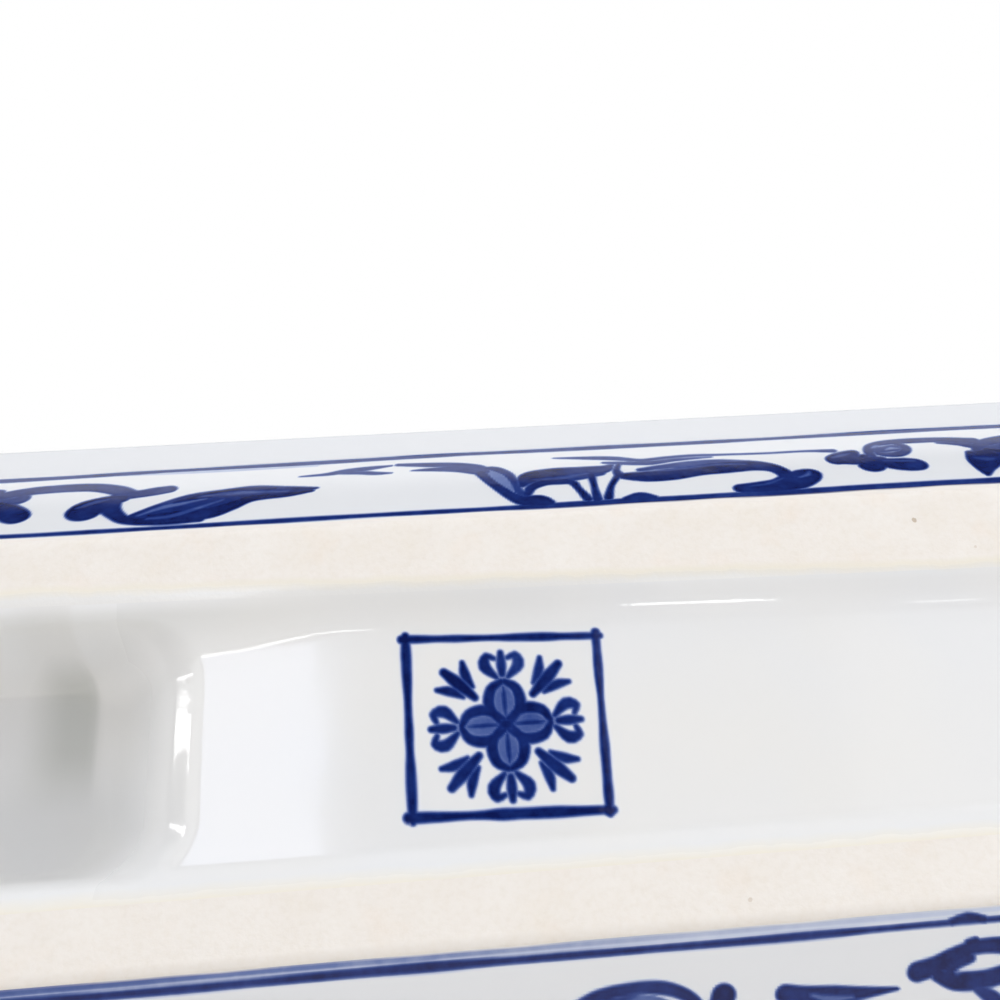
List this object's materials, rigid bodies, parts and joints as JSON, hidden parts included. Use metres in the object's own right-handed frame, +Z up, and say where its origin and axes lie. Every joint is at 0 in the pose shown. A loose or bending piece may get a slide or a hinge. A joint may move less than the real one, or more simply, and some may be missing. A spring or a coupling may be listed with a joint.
{
  "type": "brush rest",
  "caption": "Porcelain brush rest: a hollow five-peaked mountain on a flared plinth with a recessed base. Brushes lie in the saddles between the peaks.",
  "frame": {"origin": "middle of the foot, on the surface the rest stands on", "axes": "+X along the length, -Y towards the front face, +Z up through the centre peak"},
  "size_m": [0.2214, 0.0694, 0.114],
  "materials": {
    "biscuit": "unglazed, matt",
    "painted_glaze": "clear glaze over cobalt painting",
    "white_glaze": "clear glaze, glossy",
    "mountain_glaze": "clear glaze over cobalt painting"
  },
  "bodies": {
    "root": {"front_foot_rail": "biscuit", "back_foot_rail": "biscuit", "left_foot_rail": "biscuit", "right_foot_rail": "biscuit", "front_plinth_wall": "painted_glaze", "back_plinth_wall": "painted_glaze", "left_plinth_wall": "painted_glaze", "right_plinth_wall": "painted_glaze", "base_pan": "white_glaze", "plinth_deck": "white_glaze", "front_mountain_shell": "mountain_glaze", "back_mountain_shell": "mountain_glaze"}
  },
  "joints": []
}
